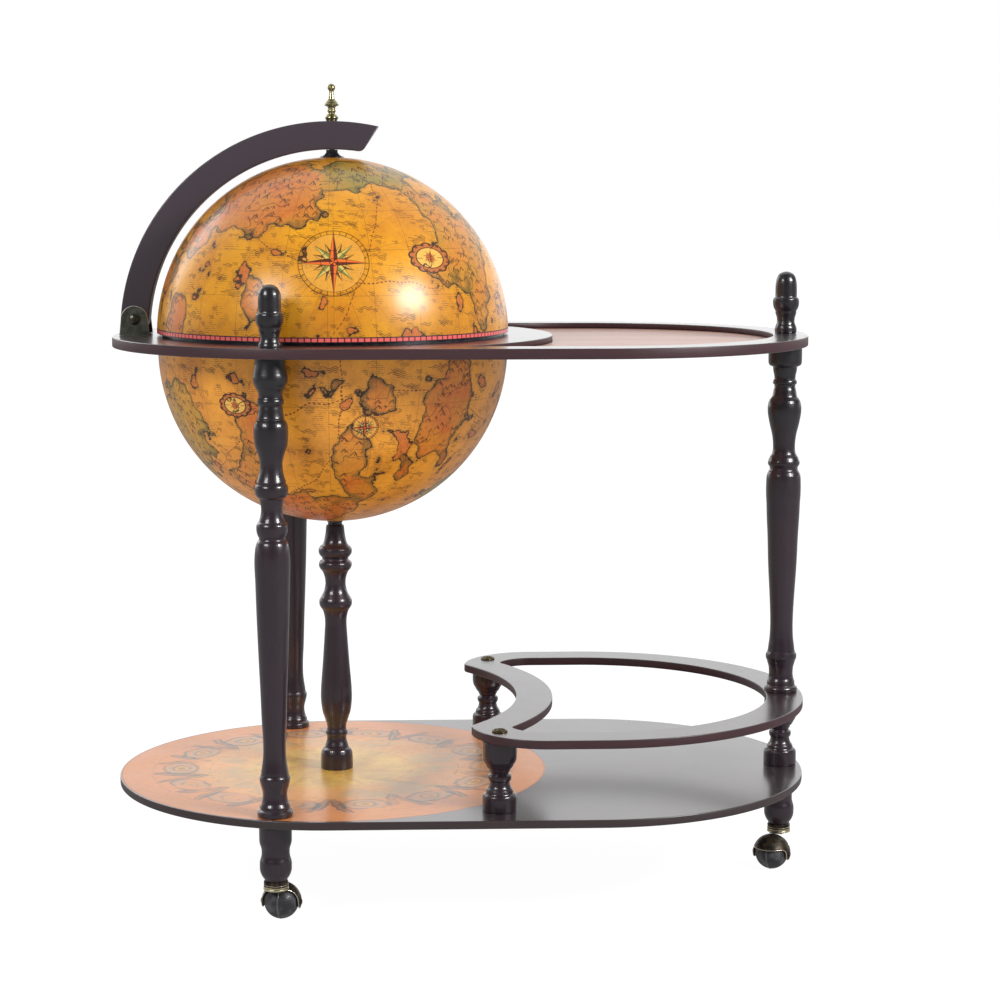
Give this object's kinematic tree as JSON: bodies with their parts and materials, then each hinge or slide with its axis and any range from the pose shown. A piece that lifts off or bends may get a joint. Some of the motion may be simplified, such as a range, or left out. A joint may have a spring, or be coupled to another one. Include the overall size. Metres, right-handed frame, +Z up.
{
  "type": "floor globe bar",
  "caption": "Rolling drinks table with a globe-shaped bottle store whose upper half swings up on a meridian arm, a lower shelf with a gallery rail and ball casters.",
  "frame": {"origin": "on the floor, under the centre of the table's bounding box", "axes": "+X from the globe towards the drinks tray, +Y to the back, +Z up"},
  "size_m": [0.8332, 0.526, 0.956],
  "materials": {
    "lacquer": "dark espresso satin lacquer",
    "board": "dark espresso satin lacquer on flat board",
    "panel": "pinkish brown satin veneer",
    "paper": "varnished map paper on a moulded shell",
    "black": "satin black",
    "brass": "antique brass",
    "bronze": "dark antique bronze plating",
    "steel": "zinc plated",
    "ball": "black moulded nylon"
  },
  "bodies": {
    "stand": {"table_board": "board", "tray_panel": "panel", "shelf_board": "board", "gallery_rail": "board", "gallery_spindle_front": "lacquer", "gallery_spindle_back": "lacquer", "gallery_spindle_right": "lacquer", "gallery_screw_front": "brass", "gallery_screw_back": "brass", "cup_washer_front": "brass", "cup_washer_back": "brass", "leg_left_front": "lacquer", "leg_left_back": "lacquer", "leg_right": "lacquer", "leg_finial_left_front": "lacquer", "leg_finial_left_back": "lacquer", "leg_finial_right": "lacquer", "foot_left_front": "lacquer", "foot_left_back": "lacquer", "foot_right": "lacquer", "top_stud_left_front": "steel", "top_stud_left_back": "steel", "top_stud_right": "steel", "bottom_stud_left_front": "steel", "bottom_stud_left_back": "steel", "bottom_stud_right": "steel", "globe_bowl": "paper", "bowl_ring": "black", "rack_top": "board", "rack_floor": "board", "rack_spacer_1": "lacquer", "rack_spacer_2": "lacquer", "rack_spacer_3": "lacquer", "centre_post": "lacquer", "post_screw": "steel", "bowl_collar": "black", "bowl_bolt": "steel", "hinge_bracket": "bronze", "bracket_screw_left": "steel", "bracket_screw_right": "steel", "pivot_bolt": "bronze", "pivot_nut": "steel", "caster_stem_left_front": "steel", "caster_stem_left_back": "steel", "caster_stem_right": "steel"},
    "arm": {"meridian_arm": "lacquer", "arm_finial": "brass", "pole_pin": "steel", "pole_cap": "black"},
    "lid": {"globe_lid": "paper"},
    "caster_left_front": {"caster_hood_left_front": "bronze", "caster_axle_left_front": "steel"},
    "caster_left_back": {"caster_hood_left_back": "bronze", "caster_axle_left_back": "steel"},
    "caster_right": {"caster_hood_right": "bronze", "caster_axle_right": "steel"},
    "ball_left_front": {"caster_ball_left_front": "ball"},
    "ball_left_back": {"caster_ball_left_back": "ball"},
    "ball_right": {"caster_ball_right": "ball"}
  },
  "joints": [
    {"name": "lid_hinge", "type": "hinge", "parent": "stand", "child": "arm", "pos_m": [-0.38936, 0, 0.678], "axis": [0, -1, 0], "range_deg": [0, 90]},
    {"name": "lid_spin", "type": "hinge", "parent": "arm", "child": "lid", "pos_m": [-0.15365, 0, 0.7], "axis": [0, 0, 1], "continuous": true},
    {"name": "swivel_left_front", "type": "hinge", "parent": "stand", "child": "caster_left_front", "pos_m": [-0.21701, -0.23003, 0.05], "axis": [0, 0, 1], "continuous": true},
    {"name": "swivel_left_back", "type": "hinge", "parent": "stand", "child": "caster_left_back", "pos_m": [-0.21701, 0.23003, 0.05], "axis": [0, 0, 1], "continuous": true},
    {"name": "swivel_right", "type": "hinge", "parent": "stand", "child": "caster_right", "pos_m": [0.39225, 0, 0.05], "axis": [0, 0, 1], "continuous": true},
    {"name": "roll_left_front", "type": "hinge", "parent": "caster_left_front", "child": "ball_left_front", "pos_m": [-0.2123, -0.20599, 0.0203], "axis": [-0.9813, 0.1925, 0], "continuous": true},
    {"name": "roll_left_back", "type": "hinge", "parent": "caster_left_back", "child": "ball_left_back", "pos_m": [-0.24003, 0.22165, 0.0203], "axis": [0.342, -0.9397, 0], "continuous": true},
    {"name": "roll_right", "type": "hinge", "parent": "caster_right", "child": "ball_right", "pos_m": [0.38075, -0.02163, 0.0203], "axis": [0.8829, -0.4695, 0], "continuous": true}
  ]
}
